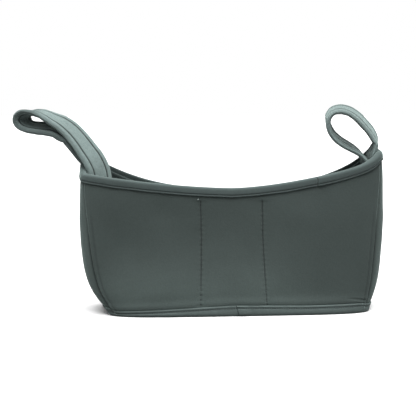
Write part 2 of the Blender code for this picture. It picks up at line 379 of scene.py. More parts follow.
def rim_height(q):
    side, t = side_of(np.asarray(q, float))
    end = seam(1.0)
    front = front_rim(mix(-end, end, t))
    right = mix(front_rim(end), back_rim(end), t)
    back = back_rim(mix(end, -end, t))
    left = mix(back_rim(-end), front_rim(-end), t)
    return np.choose(side, [front, right, back, left])


def outline(q, v):
    side, t = side_of(q)
    end = seam(v)
    corner = round_share(end)
    u = mix(-end, end, t)
    w = mix(-corner, corner, t)
    across = np.choose(side, [u, round_share(w), -u, -round_share(w)])
    deep = np.choose(side, [-round_share(u), w, round_share(u), -w])
    return across, deep


def wall(q, z, depth=0.0):
    """Points of the layer that lies depth inside the body's outer face."""
    q, z, depth = np.broadcast_arrays(np.asarray(q, float), np.asarray(z, float), depth)
    v = np.clip((z - FLOOR) / (rim_height(q) - FLOOR), 0, 1)
    u, w = outline(q, v)
    waist = 1 - MOUTH_WAIST * v * v * (1 - u * u)
    x = MOUTH_SHIFT * flare(v) + (half_length(v) - depth) * u
    y = w * (half_depth(v) * waist - depth)
    return np.stack([x, y, z], axis=-1)


def q_at(x, z, back=False):
    """Where the front or back wall crosses x at height z, found by repeated correction."""
    share = x / MOUTH_HALF_LENGTH
    for _ in range(10):
        q = 2.5 - share / 2 if back else 0.5 + share / 2
        share = share + (x - wall(q, z)[..., 0]) / MOUTH_HALF_LENGTH
    return 2.5 - share / 2 if back else 0.5 + share / 2


def wall_normal(q, z):
    """Outward direction of the wall at q and z."""
    along = wall(q + STEP_Q, z) - wall(q - STEP_Q, z)
    up = wall(q, z + STEP_Z) - wall(q, z - STEP_Z)
    found = np.cross(along, up)
    return found / np.linalg.norm(found, axis=-1, keepdims=True)


# Meshes


def lengths_along(points):
    """Distance along a line of points, or along the first axis of a grid at its middle row."""
    if points.ndim == 3:
        points = points[:, points.shape[1] // 2]
    steps = np.linalg.norm(np.diff(points, axis=0), axis=1)
    return np.concatenate([[0.0], np.cumsum(steps)])


def add_object(name, data):
    obj = bpy.data.objects.new(name, data)
    bpy.context.scene.collection.objects.link(obj)
    return obj


def build(name, points, faces, uv, material, nodes=(), marks=None):
    """A piece from arrays of points, quads and one texture coordinate in metres for each point.

    marks holds values of 0 to 1 for each point, by attribute name, which the materials read.
    """
    points = np.asarray(points, float).reshape(-1, 3)
    faces = np.asarray(faces, int)
    mesh = bpy.data.meshes.new(name)
    mesh.vertices.add(len(points))
    mesh.vertices.foreach_set("co", points.ravel())
    mesh.loops.add(faces.size)
    mesh.loops.foreach_set("vertex_index", faces.ravel())
    mesh.polygons.add(len(faces))
    mesh.polygons.foreach_set("loop_start", np.arange(0, faces.size, faces.shape[1]))
    mesh.update(calc_edges=True)
    mesh.polygons.foreach_set("use_smooth", np.full(len(faces), True))
    layer = mesh.uv_layers.new(name="cloth")
    layer.data.foreach_set("uv", np.asarray(uv, float).reshape(-1, 2)[faces.ravel()].ravel())
    for mark, values in (marks or {}).items():
        attribute = mesh.attributes.new(mark, "FLOAT", "POINT")
        attribute.data.foreach_set("value", np.broadcast_to(values, len(points)).ravel().astype(float))
    mesh.materials.append(material)
    mesh.validate()
    obj = add_object(name, mesh)
    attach(obj, "root")
    if nodes:
        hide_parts(*nodes)
    return obj


def grid_faces(columns, rows, start=0):
    i, j = np.meshgrid(np.arange(columns - 1), np.arange(rows - 1), indexing="ij")
    a = (start + i * rows + j).ravel()
    return np.stack([a, a + rows, a + rows + 1, a + 1], axis=1)


def slab(name, outer, inner, material, nodes=(), crease=0.0, painted_light=0.0):
    """A closed sheet between two grids of points, columns first, the outer one seen from outside.

    crease and the second mark are painted shade along lines and painted light on the outer face, as
    build takes them.
    """
    columns, rows = outer.shape[:2]
    half = columns * rows
    front = grid_faces(columns, rows)
    back = grid_faces(columns, rows, half)[:, ::-1]
    i = np.arange(columns - 1) * rows
    j = np.arange(rows - 1)
    last_row = rows - 1
    last_column = (columns - 1) * rows
    low = np.stack([i, i + half, i + rows + half, i + rows], axis=1)
    high = np.stack([i, i + rows, i + rows + half, i + half], axis=1) + last_row
    left = np.stack([j, j + 1, j + 1 + half, j + half], axis=1)
    right = np.stack([j, j + half, j + 1 + half, j + 1], axis=1) + last_column
    u = lengths_along(outer)
    v = lengths_along(outer.transpose(1, 0, 2))
    uv = np.stack(np.broadcast_arrays(u[:, None], v[None, :]), axis=-1)
    points = np.concatenate([outer.reshape(-1, 3), inner.reshape(-1, 3)])
    faces = np.concatenate([front, back, low, high, left, right])
    marks = {}
    for mark, values in (("crease", crease), ("painted_light", painted_light)):
        values = np.broadcast_to(values, (columns, rows)).ravel()
        marks[mark] = np.concatenate([values, 0 * values])
    obj = build(name, points, faces, np.concatenate([uv, uv]), material, nodes, marks)
    obj["flat"] = (float(u[-1]), float(v[-1]))
    return obj


def skin_faces(stations, around, closed=False):
    """Quads round the sections of a tube, and across both its ends unless it closes on itself."""
    spans = stations if closed else stations - 1
    i, j = np.meshgrid(np.arange(spans), np.arange(around), indexing="ij")
    i, j = i.ravel(), j.ravel()
    k, m = (i + 1) % stations, (j + 1) % around
    sides = np.stack([i * around + j, k * around + j, k * around + m, i * around + m], axis=1)
    j = np.arange(around // 2 - 1)
    start = np.stack([j, j + 1, around - 2 - j, around - 1 - j], axis=1)
    end = start[:, ::-1] + (stations - 1) * around
    return sides if closed else np.concatenate([sides, start, end])


def tube(name, sections, material, nodes=(), closed=False, marks=None):
    """A skin over sections of points, stations first, each section a closed loop of an even count."""
    shape = sections.shape[:2]
    along = lengths_along(sections)
    across = lengths_along(sections[len(sections) // 2])
    uv = np.stack(np.broadcast_arrays(across[None, :], along[:, None]), axis=-1)
    marks = {mark: np.broadcast_to(values, shape).ravel() for mark, values in (marks or {}).items()}
    obj = build(name, sections, skin_faces(*shape, closed), uv, material, nodes, marks)
    obj["flat"] = (float(across[-1] / 2), float(along[-1]))
    return obj


def curve(knots, per_span, closed=False):
    """A smooth curve through the knots, rows of any width."""
    knots = np.asarray(knots, float)
    if closed:
        padded = np.vstack([knots[-1:], knots, knots[:2]])
    else:
        padded = np.vstack([2 * knots[0] - knots[1], knots, 2 * knots[-1] - knots[-2]])
    spans = len(padded) - 3
    a, b, c, d = (padded[k : k + spans, None] for k in range(4))
    t = (np.arange(per_span) / per_span)[None, :, None]
    bend = (2 * a - 5 * b + 4 * c - d) * t**2
    twist = (3 * b - a - 3 * c + d) * t**3
    found = (0.5 * (2 * b + (c - a) * t + bend + twist)).reshape(-1, knots.shape[1])
    return found if closed else np.vstack([found, knots[-1]])


def resample(points, step):
    """Points spaced evenly, about step apart, along a line of points of any width."""
    run = lengths_along(points[:, :3])
    at = np.linspace(0, run[-1], max(2, round(run[-1] / step)))
    return np.stack([np.interp(at, run, column) for column in points.T], axis=1)


# Thread


def stitches(line, normal, pitch=STITCH_PITCH, length=STITCH_LENGTH, radius=THREAD_RADIUS):
    """Points of a row of thread stitches along a line, each one sinking in at its ends."""
    run = lengths_along(line)
    count = int((run[-1] - length) / pitch) + 1
    shares = np.array(STITCH_STATIONS)
    rise = np.array(STITCH_RISE) * radius
    girth = np.array(STITCH_GIRTH) * radius
    at = (np.arange(count) * pitch)[:, None] + shares[None, :] * length
    centre = np.stack([np.interp(at, run, column) for column in line.T], axis=-1)
    out = np.stack([np.interp(at, run, column) for column in normal.T], axis=-1)
    out /= np.linalg.norm(out, axis=-1, keepdims=True)
    along = centre[:, -1:] - centre[:, :1]
    along = along / np.linalg.norm(along, axis=-1, keepdims=True)
    across = np.cross(np.broadcast_to(along, out.shape), out)
    centre = centre + out * rise[None, :, None]
    angle = 2 * math.pi * np.arange(THREAD_SIDES) / THREAD_SIDES
    ring = np.cos(angle)[:, None] * across[:, :, None, :] + np.sin(angle)[:, None] * out[:, :, None, :]
    return centre[:, :, None, :] + ring * girth[None, :, None, None]


def sew(name, rows, material):
    """One object of all the stitches in several rows."""
    points, faces, start = [], [], 0
    for row in rows:
        count, stations, sides = row.shape[:3]
        each = stations * sides
        one = skin_faces(stations, sides)[:, [0, 3, 2, 1]]
        shift = start + np.arange(count)[:, None, None] * each
        faces.append((one[None] + shift).reshape(-1, 4))
        points.append(row.reshape(-1, 3))
        start += count * each
    points = np.concatenate(points)
    uv = np.zeros((len(points), 2))
    build(name, points, np.concatenate(faces), uv, material)


# Materials


class Nodes:
    """Short calls for building a node tree."""

    def __init__(self, tree):
        self.tree = tree
        self.shader = tree.nodes.get("Principled BSDF")

    def add(self, kind, **inputs):
        node = self.tree.nodes.new(kind)
        for key, value in inputs.items():
            self.put(node.inputs[key.replace("_", " ")], value)
        return node

    def put(self, socket, value):
        if isinstance(value, bpy.types.NodeSocket):
            self.tree.links.new(value, socket)
        else:
            socket.default_value = value

    def math(self, operation, a, b=0.0):
        node = self.tree.nodes.new("ShaderNodeMath")
        node.operation = operation
        self.put(node.inputs[0], a)
        self.put(node.inputs[1], b)
        return node.outputs[0]

    def plus(self, a, b):
        return self.math("ADD", a, b)

    def times(self, a, b):
        return self.math("MULTIPLY", a, b)

    def field(self, scale, detail=2.0):
        """Noise over the object's own coordinates, 0 to 1, scale in features a metre."""
        place = self.add("ShaderNodeTexCoord").outputs["Object"]
        return self.add("ShaderNodeTexNoise", Vector=place, Scale=scale, Detail=detail).outputs["Fac"]

    def spread(self, value, amount):
        """1 plus or minus amount, from a value of 0 to 1."""
        swing = self.times(self.math("SUBTRACT", value, 0.5), 2 * amount)
        return self.plus(swing, 1.0)

    def tint(self, colour, tone):
        """Gives the shader the base colour times the tone."""
        shade = self.add("ShaderNodeVectorMath")
        shade.operation = "SCALE"
        shade.inputs[0].default_value = colour
        self.put(shade.inputs["Scale"], tone)
        self.finish(Base_Color=shade.outputs[0])

    def bump(self, height, distance):
        bumped = self.add("ShaderNodeBump", Height=height, Distance=distance, Strength=1.0)
        self.finish(Normal=bumped.outputs[0])

    def finish(self, **inputs):
        """Sets inputs of the shader."""
        for key, value in inputs.items():
            self.put(self.shader.inputs[key.replace("_", " ")], value)

    def seen(self):
        """1 for what the camera sees, also in reflections and through glass."""
        path = self.add("ShaderNodeLightPath").outputs
        straight = self.math("MAXIMUM", path["Is Camera Ray"], path["Is Glossy Ray"])
        return self.math("MAXIMUM", straight, path["Is Transmission Ray"])


def new_material(name):
    material = bpy.data.materials.new(name)
    material.use_nodes = True
    return material, Nodes(material.node_tree)


def knit_height(nodes, wale, course):
    """Rows of small loops: wale is the pitch across the cloth, course the pitch along it."""
    uv = nodes.add("ShaderNodeUVMap")
    uv.uv_map = "cloth"
    split = nodes.add("ShaderNodeSeparateXYZ", Vector=uv.outputs[0])
    across = nodes.times(split.outputs[0], 2 * math.pi / wale)
    rib = nodes.math("ABSOLUTE", nodes.math("SINE", nodes.times(across, 0.5)))
    along = nodes.times(split.outputs[1], 2 * math.pi / course)
    slant = nodes.plus(along, nodes.times(rib, KNIT_SLANT))
    loop = nodes.plus(nodes.times(nodes.math("SINE", slant), 0.5), 0.5)
    return nodes.times(nodes.plus(nodes.times(loop, KNIT_DEPTH), 1 - KNIT_DEPTH), rib)


def cloth(name, colour, knit, bump=0.00012, mottle=0.10, fleck=0.16, sheen=0.35, rough=0.82):
    """Knit-faced cloth: loops with painted shade in their hollows, soft mottling, fine fibre flecks, a
    grazing sheen, and the painted shade and light of the marks.
    """
    material, nodes = new_material(name)
    height = knit_height(nodes, *knit)
    broad = nodes.field(MOTTLE_SCALE)
    close = nodes.field(FLECK_SCALE, 3.0)
    fibre = nodes.field(FIBRE_SCALE)
    tone = nodes.times(nodes.spread(broad, mottle), nodes.spread(close, fleck))
    # Painted shade in the knit: darker in the hollows of its loops, lighter on their tops
    tone = nodes.times(tone, nodes.plus(nodes.times(height, 0.35), 0.82))
    # The marks add painted shade and painted light to the tone
    for mark, amount in MARK_TONES:
        value = nodes.add("ShaderNodeAttribute")
        value.attribute_name = mark
        change = nodes.times(value.outputs["Fac"], amount)
        tone = nodes.times(tone, nodes.plus(change, 1.0))
    nodes.tint(colour, tone)
    relief = nodes.plus(height, nodes.times(fibre, 0.5))
    nodes.bump(nodes.plus(relief, nodes.times(close, 0.9)), bump)
    nodes.finish(
        Roughness=nodes.times(nodes.spread(close, 0.08), rough),
        Specular_IOR_Level=0.28,
        Sheen_Weight=sheen,
        Sheen_Roughness=0.45,
        Sheen_Tint=SHEEN_TINT,
    )
    return material


def thread_material(name, colour):
    """Twisted sewing thread with a slight shine."""
    material, nodes = new_material(name)
    strands = nodes.field(STRAND_SCALE, 1.0)
    nodes.tint(colour, nodes.spread(strands, 0.25))
    nodes.bump(strands, 0.00008)
    nodes.finish(Roughness=0.55)
    return material


# Body panels


def band_top(q, x):
    """Height of the seam band's upper edge: it wanders along the front and is level elsewhere."""
    side, _ = side_of(q)
    xs, zs = zip(*BAND_EDGE)
    return np.where(side == 0, np.interp(x, xs, zs), BAND_TOP)


def below_edge(over):
    """1 where the seam band covers a wall, and 0 over the band's edge."""
    return 1 - smooth(-0.0012, 0.0008, over)


def line_x(line, z):
    """x of a stitch line on the front at height z."""
    foot, head = line
    return mix(foot, head, np.clip(z / FRONT_LOW, 0, 1))


def seam_relief(run, z, stitched):
    """Inward depth beside an end seam: a valley at the edge, and the sewn-down allowance."""
    run, z = np.broadcast_arrays(run, z)
    depth = ridge(SEAM_VALLEY, run)
    if stitched:
        low = 1 - smooth(*ALLOWANCE_ENDS, z)
        depth += low * ridge(ALLOWANCE_GROOVE, run - SEAM_ALLOWANCE)
        depth -= low * ridge(ALLOWANCE_SWELL, run - SEAM_ALLOWANCE / 2)
        depth += low * waves(SEAM_PUCKER, z) * bell(run - SEAM_ALLOWANCE, 0.004)
    return depth * (1 - 0.55 * smooth(*SEAMS_FADE, z))


def side_length(side):
    """Length of a long side or of an end, about half way up."""
    return 2 * (half_length(0.5) if side % 2 == 0 else half_depth(0.4))


def beside_seam(q, side):
    """Distance to the nearer end of the side that q lies on."""
    _, t = side_of(q)
    return np.minimum(t, 1 - t) * side_length(side)


def front_slump(q, z):
    """How far the whole front sags inwards: a flared foot, a hollow above it and slack folds."""
    x = wall(q, z)[..., 0]
    hollow = HOLLOW * between(z, HOLLOW_GROWS, HOLLOW_FADES)
    hollow = hollow * (1 - 0.75 * smooth(*HOLLOW_SHALLOW_X, x))
    slack = waves(FRONT_FOLDS, x, z) + waves(FRONT_WRINKLES, x, 0.6 * z)
    slack *= between(z, FOLDS_GROW, FRONT_FOLDS_FADE)
    return (hollow + slack) * smooth(*LONG_SIDE_CALM, beside_seam(q, 0))


def back_slump(q, z):
    x = wall(q, z)[..., 0]
    slack = waves(BACK_FOLDS, x, z) + waves(BACK_WRINKLES, x, z)
    slack *= between(z, FOLDS_GROW, BACK_FOLDS_FADE)
    return slack * smooth(*LONG_SIDE_CALM, beside_seam(q, 2))


def end_slump(q, z):
    y = wall(q, z)[..., 1]
    slack = waves(END_FOLDS, y + 1.0, z) + waves(END_WRINKLES, y, z)
    slack *= between(z, FOLDS_GROW, END_FOLDS_FADE)
    return slack * smooth(*END_CALM, beside_seam(q, 1))


def front_painted_light(q, z):
    """How far the front is painted lighter: painted light at the foot, most of all on the left, and
    random pale patches.
    """
    x = wall(q, z)[..., 0]
    foot = PAINTED_LIGHT_AT_FOOT * (1 - smooth(*PAINTED_LIGHT_FOOT_Z, z)) * (1 - 0.8 * smooth(*PAINTED_LIGHT_FOOT_X, x))
    left = PAINTED_LIGHT_ON_LEFT * (1 - smooth(*PAINTED_LIGHT_LEFT_X, x))
    patches = waves(PALE_PATCHES, x, z) * smooth(*PALE_PATCH_Z, z)
    return np.clip(PAINTED_LIGHT_ALL_OVER + foot + left + patches, 0, PAINTED_LIGHT_MOST)


def stitch_line_shade(q, z):
    """How dark the front's stitch lines are painted, with painted shade in their grooves and in part
    the dark of their thread: dots at the foot, which run together higher up.
    """
    x = wall(q, z)[..., 0]
    dots = mix(0.5 + 0.5 * np.cos(2 * math.pi * z / STITCH_PITCH), 1.0, smooth(0.03, 0.06, z))
    lines = sum(ridge(LINE_SHADE, x - line_x(line, z)) for line in DIVIDER_AT)
    return between(z, LINE_STARTS, LINE_ENDS) * dots * lines


def wall_relief(side, q, z):
    """Inward depth of a wall's end seams and of its foot, and on the front of its stitch lines."""
    x = wall(q, z)[..., 0]
    over = z - band_top(q, x)
    depth = seam_relief(beside_seam(q, side), z, side % 2 == 0)
    if side != 0:
        return depth + UNDER_BAND * below_edge(over)
    window = between(z, LINE_STARTS, LINE_ENDS)
    for k, line in enumerate(DIVIDER_AT):
        away = x - line_x(line, z)
        depth += window * (ridge(LINE_GROOVE, away) + ridge(LINE_HOLLOW, away))
        ripple = LINE_RIPPLE * np.sin(2 * math.pi * z / LINE_RIPPLE_PITCH + k)
        depth += window * ripple * bell(away, LINE_RIPPLE_WIDTH)
    # The cloth swells a little over the seam band, and creases at the right foot
    depth -= ridge(OVER_BAND_SWELL, over - OVER_BAND_AT)
    depth += UNDER_FRONT_BAND * below_edge(over)
    corner_x, corner_z = FOOT_CREASE_END
    crease = over - corner_z - FOOT_CREASE_SLOPE * (corner_x - x)
    return depth + ridge(FOOT_CREASE, crease) * smooth(*FOOT_CREASE_X, x)


def crowded(count, marks=(), width=0.012, extra=14):
    """Shares 0 to 1, with extra ones close to each mark and to both ends."""
    shares = [np.linspace(0, 1, count)]
    for mark in (0.0, 1.0, *marks):
        shares.append(mark + np.linspace(-width, width, extra))
    found = np.unique(np.round(np.concatenate(shares), 6))
    return found[(found >= 0) & (found <= 1)]


def wall_panel(name, side, shares, rows, slump, material):
    """One wall of foam cloth. Both its faces sag, and the outer one has the relief and the painted
    shade and light of the marks.
    """
    q = (side + np.clip(shares, 1e-6, 1 - 1e-6))[:, None]
    top = rim_height(q)
    share = crowded(rows, (0.05, 0.08), width=0.012, extra=6)[None, :]
    z = mix(FLOOR, top + WALL_TOP_OVER, share)
    sag = slump(q, z)
    outer = wall(q, z, sag + np.minimum(wall_relief(side, q, z), WALL - THINNEST))
    inner = wall(q, z, sag + WALL)
    run = beside_seam(q, side)
    below_rim = z < top - RIM_COVER
    # Painted shade along the end seams, their sewn allowances and the front's stitch lines, in part
    # their darker cloth and thread, and a painted shadow below the rim binding
    crease = ridge(SEAM_SHADE, run) * below_rim * (1 - 0.75 * smooth(*SEAM_SHADES_FADE, z))
    crease = np.maximum(crease, ridge(UNDER_RIM_SHADE, z - top + UNDER_RIM))
    if side % 2 == 0:
        low = 1 - smooth(*ALLOWANCE_ENDS, z)
        crease = np.maximum(crease, low * ridge(ALLOWANCE_SHADE, run - SEAM_ALLOWANCE))
    if side == 0:
        crease = np.maximum(crease, stitch_line_shade(q, z))
        painted_light = front_painted_light(q, z)
    else:
        # Painted light: the ends and the back are set lighter, more so towards the foot
        painted_light = 0.60 + 0.65 * (1 - smooth(0.03, 0.16, z))
    obj = slab(name, outer, inner, material, (name,), crease, painted_light)


def make_walls(material):
    lines = [float(q_at(x, 0.08)) for line in DIVIDER_AT for x in line]
    front = crowded(190, lines, width=0.010, extra=24)
    end = crowded(56, width=0.03, extra=6)
    wall_panel("front_panel", 0, front, 150, front_slump, material)
    wall_panel("right_end", 1, end, 84, end_slump, material)
    wall_panel("back_panel", 2, crowded(150), 70, back_slump, material)
    wall_panel("left_end", 3, end, 84, end_slump, material)


def make_base(material):
    """The flat bottom: rings of points shrinking to the middle, above and below, quilted above."""
    q = np.linspace(0, 4, 240, endpoint=False)
    rim = wall(q, FLOOR)[:, :2]
    shares = np.concatenate([[0.9995, 0.992], np.linspace(0.97, 0.02, 36)])
    sink = 0.0004 * smooth(0.985, 0.9995, shares)
    rings = rim[:, None, :] * shares[None, :, None]
    quilt = abs(waves(BASE_QUILT, rings[..., 0], rings[..., 1]))
    high = np.concatenate([rings, (BASE - sink - quilt)[..., None]], axis=-1)
    low = np.concatenate([rings, (sink + 0 * quilt)[..., None]], axis=-1)
    high = np.concatenate([high, high[:1]])
    low = np.concatenate([low, low[:1]])
    obj = slab("base_panel", high[:, ::-1], low[:, ::-1], material, ("base_panel",))
    # The knit runs straight across the base, so its texture coordinates are x and y
    layer = obj.data.uv_layers["cloth"].data
    points = np.empty(len(obj.data.vertices) * 3)
    obj.data.vertices.foreach_get("co", points)
    corners = np.empty(len(obj.data.loops), int)
    obj.data.loops.foreach_get("vertex_index", corners)
    layer.foreach_set("uv", points.reshape(-1, 3)[corners, :2].ravel())


# Tapes

# Section of the folded rim binding, as (height above the rim, depth)
RIM_SECTION = (
    (-0.0070, -0.0001), (-0.0090, -0.0002), (-0.0094, -0.0009), (-0.0090, -0.0019),
    (-0.0081, -0.0020), (-0.0073, -0.0011), (-0.0065, -0.0018), (-0.0045, -0.0021),
    (-0.0018, -0.0021), (-0.0002, -0.0018), (0.0010, -0.0010), (0.0016, 0.0004),
    (0.0018, 0.0017), (0.0016, 0.0030), (0.0010, 0.0044), (-0.0002, 0.0051),
    (-0.0018, 0.0054), (-0.0045, 0.0054), (-0.0065, 0.0051), (-0.0073, 0.0044),
    (-0.0081, 0.0053), (-0.0090, 0.0052), (-0.0094, 0.0042), (-0.0090, 0.0035),
    (-0.0070, 0.0034), (0.0, 0.0034), (0.0003, 0.0017), (0.0, -0.0001),
)

# Section of the pocket's binding, as (height above the sheet's edge, depth from its far face)
POCKET_SECTION = (
    (-0.0060, -0.0002), (-0.0064, -0.0004), (-0.0055, -0.0005), (-0.0020, -0.0005),
    (0.0002, -0.0003), (0.0009, 0.0008), (0.0002, 0.0020), (-0.0020, 0.0025),
    (-0.0042, 0.0023), (-0.0048, 0.0019), (-0.0055, 0.0023), (-0.0064, 0.0021),
    (-0.0060, 0.0017), (-0.0002, 0.0017), (-0.0002, -0.0001), (-0.0040, -0.0001),
)

# Section of a divider's binding, as (x from the sheet's middle, height above its edge)
DIVIDER_SECTION = (
    (-0.0015, -0.0050), (-0.0016, -0.0030), (-0.0015, 0.0000), (-0.0007, 0.0011),
    (0.0007, 0.0011), (0.0015, 0.0000), (0.0016, -0.0030), (0.0015, -0.0050),
    (0.0009, -0.0050), (0.0009, -0.0002), (-0.0009, -0.0002), (-0.0009, -0.0050),
)


def tape_stations(joint_q):
    """q all the way round, closer together near the corners and at the tape's joint."""
    found = [joint_q + np.linspace(-0.004, 0.008, 40)]
    for side in range(4):
        steps = 300 if side % 2 == 0 else 60
        found.append(side + crowded(steps, width=0.02, extra=10)[:-1])
    return np.unique(np.concatenate(found))


def overlap_joint(run, length):
    """Extra height of a tape where its end lies over its start: a sharp step, then a long slope."""
    step = smooth(-0.0002, 0.0003, run) * (1 - smooth(0.4 * length, length, run))
    return JOINT_RISE * step - ridge(JOINT_NOTCH, run + 0.0004)


def joint_shadow(run):
    """The dark line at the step of a joint, 0 to 1."""
    return bell(run + JOINT_SHADOW_BEFORE, JOINT_SHADOW_WIDTH)[:, None]


def make_rim(material):
    joint_q = float(q_at(*RIM_JOINT))
    q = tape_stations(joint_q)
    top = rim_height(q)
    run = lengths_along(wall(q, top))
    joint_run = run - np.interp(joint_q, q, run)
    height, depth = curve(RIM_SECTION, 2, closed=True).T
    proud = np.abs(depth - WALL / 2) > 0.0019
    outside = (depth < 0.0005) & (height > -0.0097)
    away = np.where(depth < WALL / 2, -1.0, 1.0) * proud
    free = 0.35 + 0.65 * smooth(0.002, 0.009, -height)
    puff = (waves(RIM_PUCKER, run) + waves(RIM_SWELL, run))[:, None] * free
    puff += overlap_joint(joint_run, RIM_JOINT_LENGTH)[:, None] * outside
    wander = waves(RIM_WANDER, run)[:, None] * smooth(0.004, 0.009, -height)
    sections = wall(q[:, None], top[:, None] + height + wander, depth + away * puff)
    # Painted shade along the binding's stitching, a painted shadow at its joint and a painted
    # highlight along its crest
    crease = ridge(RIM_STITCH_SHADE, height + RIM_STITCH_DROP) * proud
    crease = np.maximum(crease, 0.9 * joint_shadow(joint_run) * outside)
    marks = {"crease": crease, "painted_light": smooth(-0.0012, 0.0010, height)}
    obj = tube("rim_binding", sections, material, ("rim_binding",), True, marks)


def make_band(material):
    joint_q = float(q_at(*BAND_JOINT))
    q = tape_stations(joint_q)
    foot = wall(q, FLOOR)
    top = band_top(q, foot[:, 0])
    # The edge is smoothed over 13 stations
    top = np.convolve(np.concatenate([top[-6:], top, top[:6]]), np.ones(13) / 13, "valid")
    run = lengths_along(foot)
    joint_run = run - np.interp(joint_q, q, run)
    puff = waves(BAND_PUCKER, run) + waves(BAND_SWELL, run)
    puff += overlap_joint(joint_run, BAND_JOINT_LENGTH)
    sections = []
    for height, q_here, swell in zip(top, q, puff):
        knots = np.array([
            (0.0006, -0.0001),
            (0.0002, -0.0008),
            (0.0009, -0.0016),
            (0.0025, -0.0027 - swell),
            (height * 0.45, -0.0026 - swell),
            (height - 0.0040, -0.0019 - swell),
            (height - BAND_STITCH_DROP, -0.0014),
            (height - 0.0021, -0.0019 - swell),
            (height - 0.0007, -0.0017 - swell),
            (height, -0.0009),
            (height - 0.0004, -0.0001),
            (height * 0.5, -0.0001),
        ])
        profile = curve(knots, 2, closed=True)
        sections.append(wall(q_here, profile[:, 0], profile[:, 1]))
    sections = np.array(sections)
    # Painted shadow at the step of the band's joint
    marks = {"crease": 0.8 * joint_shadow(joint_run)}
    obj = tube("base_band", sections, material, ("base_band",), True, marks)


# Lining


def pocket_depth(v):
    return WALL + GAP + POCKET_STAND_OFF * v**POCKET_SWEEP


def make_pocket(material, tape):
    margin = (1 - POCKET_END) / 2
    q = (2 + mix(margin, 1 - margin, crowded(130, width=0.02, extra=10)))[:, None]
    v = np.linspace(0, 1, 60)[None, :]
    top = rim_height(q) - POCKET_DROP
    z = mix(FLOOR + GAP, top, v)
    x = wall(q, z)[..., 0]
    sag = between(v, (0, 0.2), (0.85, 1.0)) * waves(POCKET_FOLDS, x, z)
    near = wall(q, z, pocket_depth(v) + sag + SHEET)
    far = wall(q, z, pocket_depth(v) + sag)
    obj = slab("inner_pocket", near[::-1], far[::-1], material, ("inner_pocket",))
    profile = curve(POCKET_SECTION, 2, closed=True)
    sections = wall(q, top + profile[:, 0], pocket_depth(1.0) + profile[:, 1])
    edge = tube("pocket_binding", sections, tape)


def pocket_face(x, z):
    """y of the pocket sheet's inner face."""
    rim = back_rim(x / MOUTH_HALF_LENGTH)
    v = np.clip((z - FLOOR) / (rim - POCKET_DROP - FLOOR), 0, 1)
    return wall(q_at(x, z, back=True), z, pocket_depth(v) + SHEET)[..., 1]


def make_divider(name, line, material, tape):
    foot, head = line
    top = FRONT_LOW - DIVIDER_DROP
    t = np.linspace(0, 1, 64)[None, :]
    s = np.linspace(0, 1, 40)[:, None]
    z = mix(FLOOR + GAP, top, t)
    x = mix(foot, head, t)
    q = q_at(x, z)
    near = wall(q, z, WALL + front_slump(q, z))[..., 1] + 2 * GAP
    far = pocket_face(x, z) - 2 * GAP
    folds = (0.0012, 0.03, foot * 90)
    slack = DIVIDER_SLACK * t * np.sin(2 * math.pi * s) + waves(folds, s * 0.08, t * 0.14)
    slack = slack * between(s, (0, 0.06), (0.94, 1.0))
    y = mix(near, far, s)
    x, z = np.broadcast_to(x, y.shape), np.broadcast_to(z, y.shape)
    right = np.stack([x + slack + SHEET / 2, y, z], axis=-1)
    left = np.stack([x + slack - SHEET / 2, y, z], axis=-1)
    obj = slab(name, right, left, material, (name,))
    centre = ((right + left) / 2)[1:-1, -1]
    profile = curve(DIVIDER_SECTION, 2, closed=True)[::-1]
    sections = np.stack([
        centre[:, None, 0] + profile[None, :, 0],
        np.broadcast_to(centre[:, None, 1], (len(centre), len(profile))),
        centre[:, None, 2] + profile[None, :, 1],
    ], axis=-1)
    edge = tube(name + "_binding", sections, tape)


# Straps


def right_strap_knots():
    """An open drop-shaped loop, both ends lying inside the right end of the body."""
    end = MOUTH_SHIFT + half_length(1)
    outer_leg = -(WALL + GAP + TAPE + GAP + CORNER_DROP + STRAP_THICK / 2)
    inner_leg = outer_leg - STRAP_THICK - GAP
    # From the end's outer face at the rim: x, height z, and the shares of the roll and the swing
    path = [
        (outer_leg, 0.1600, 0.0, 0.0), (outer_leg, 0.1800, 0.0, 0.0),
        (outer_leg, 0.1970, 0.0, 0.0), (-0.0062, 0.2065, 0.35, 0.6),
        (-0.0042, 0.2135, 0.75, 1.2), (-0.0074, 0.2214, 1.0, 1.6),
        (-0.0126, 0.2294, 1.0, 1.7), (-0.0192, 0.2367, 1.0, 1.7),
        (-0.0268, 0.2443, 1.0, 1.6), (-0.0355, 0.2506, 1.0, 1.4),
        (-0.0435, 0.2540, 1.0, 1.2), (-0.0520, 0.2550, 1.0, 1.0),
        (-0.0600, 0.2523, 1.0, 0.9), (-0.0650, 0.2456, 1.0, 0.8),
        (-0.0655, 0.2374, 1.0, 0.8), (-0.0627, 0.2287, 1.0, 0.8),
        (-0.0566, 0.2205, 1.0, 0.8), (-0.0482, 0.2137, 1.0, 0.8),
        (-0.0390, 0.2083, 0.9, 0.8), (-0.0303, 0.2033, 0.7, 0.6),
        (-0.0235, 0.1975, 0.4, 0.4), (inner_leg, 0.1860, 0.1, 0.1),
        (inner_leg, 0.1600, 0.0, 0.0),
    ]
    return [
        (end + x, 0.0, z, LOOP_SWING * swing, 1.0, LOOP_ROLL * roll)
        for x, z, roll, swing in path
    ]


def behind(knot, along, slide):
    """The knot of a leg that lies flat against the back of another, moved along its width by slide."""
    x, y, z, *across = knot
    normal = np.cross(along, across)
    normal *= (STRAP_THICK + GAP) / np.linalg.norm(normal)
    shift = normal + np.array(across) * slide
    return (x + shift[0], y + shift[1], z + shift[2], *across)


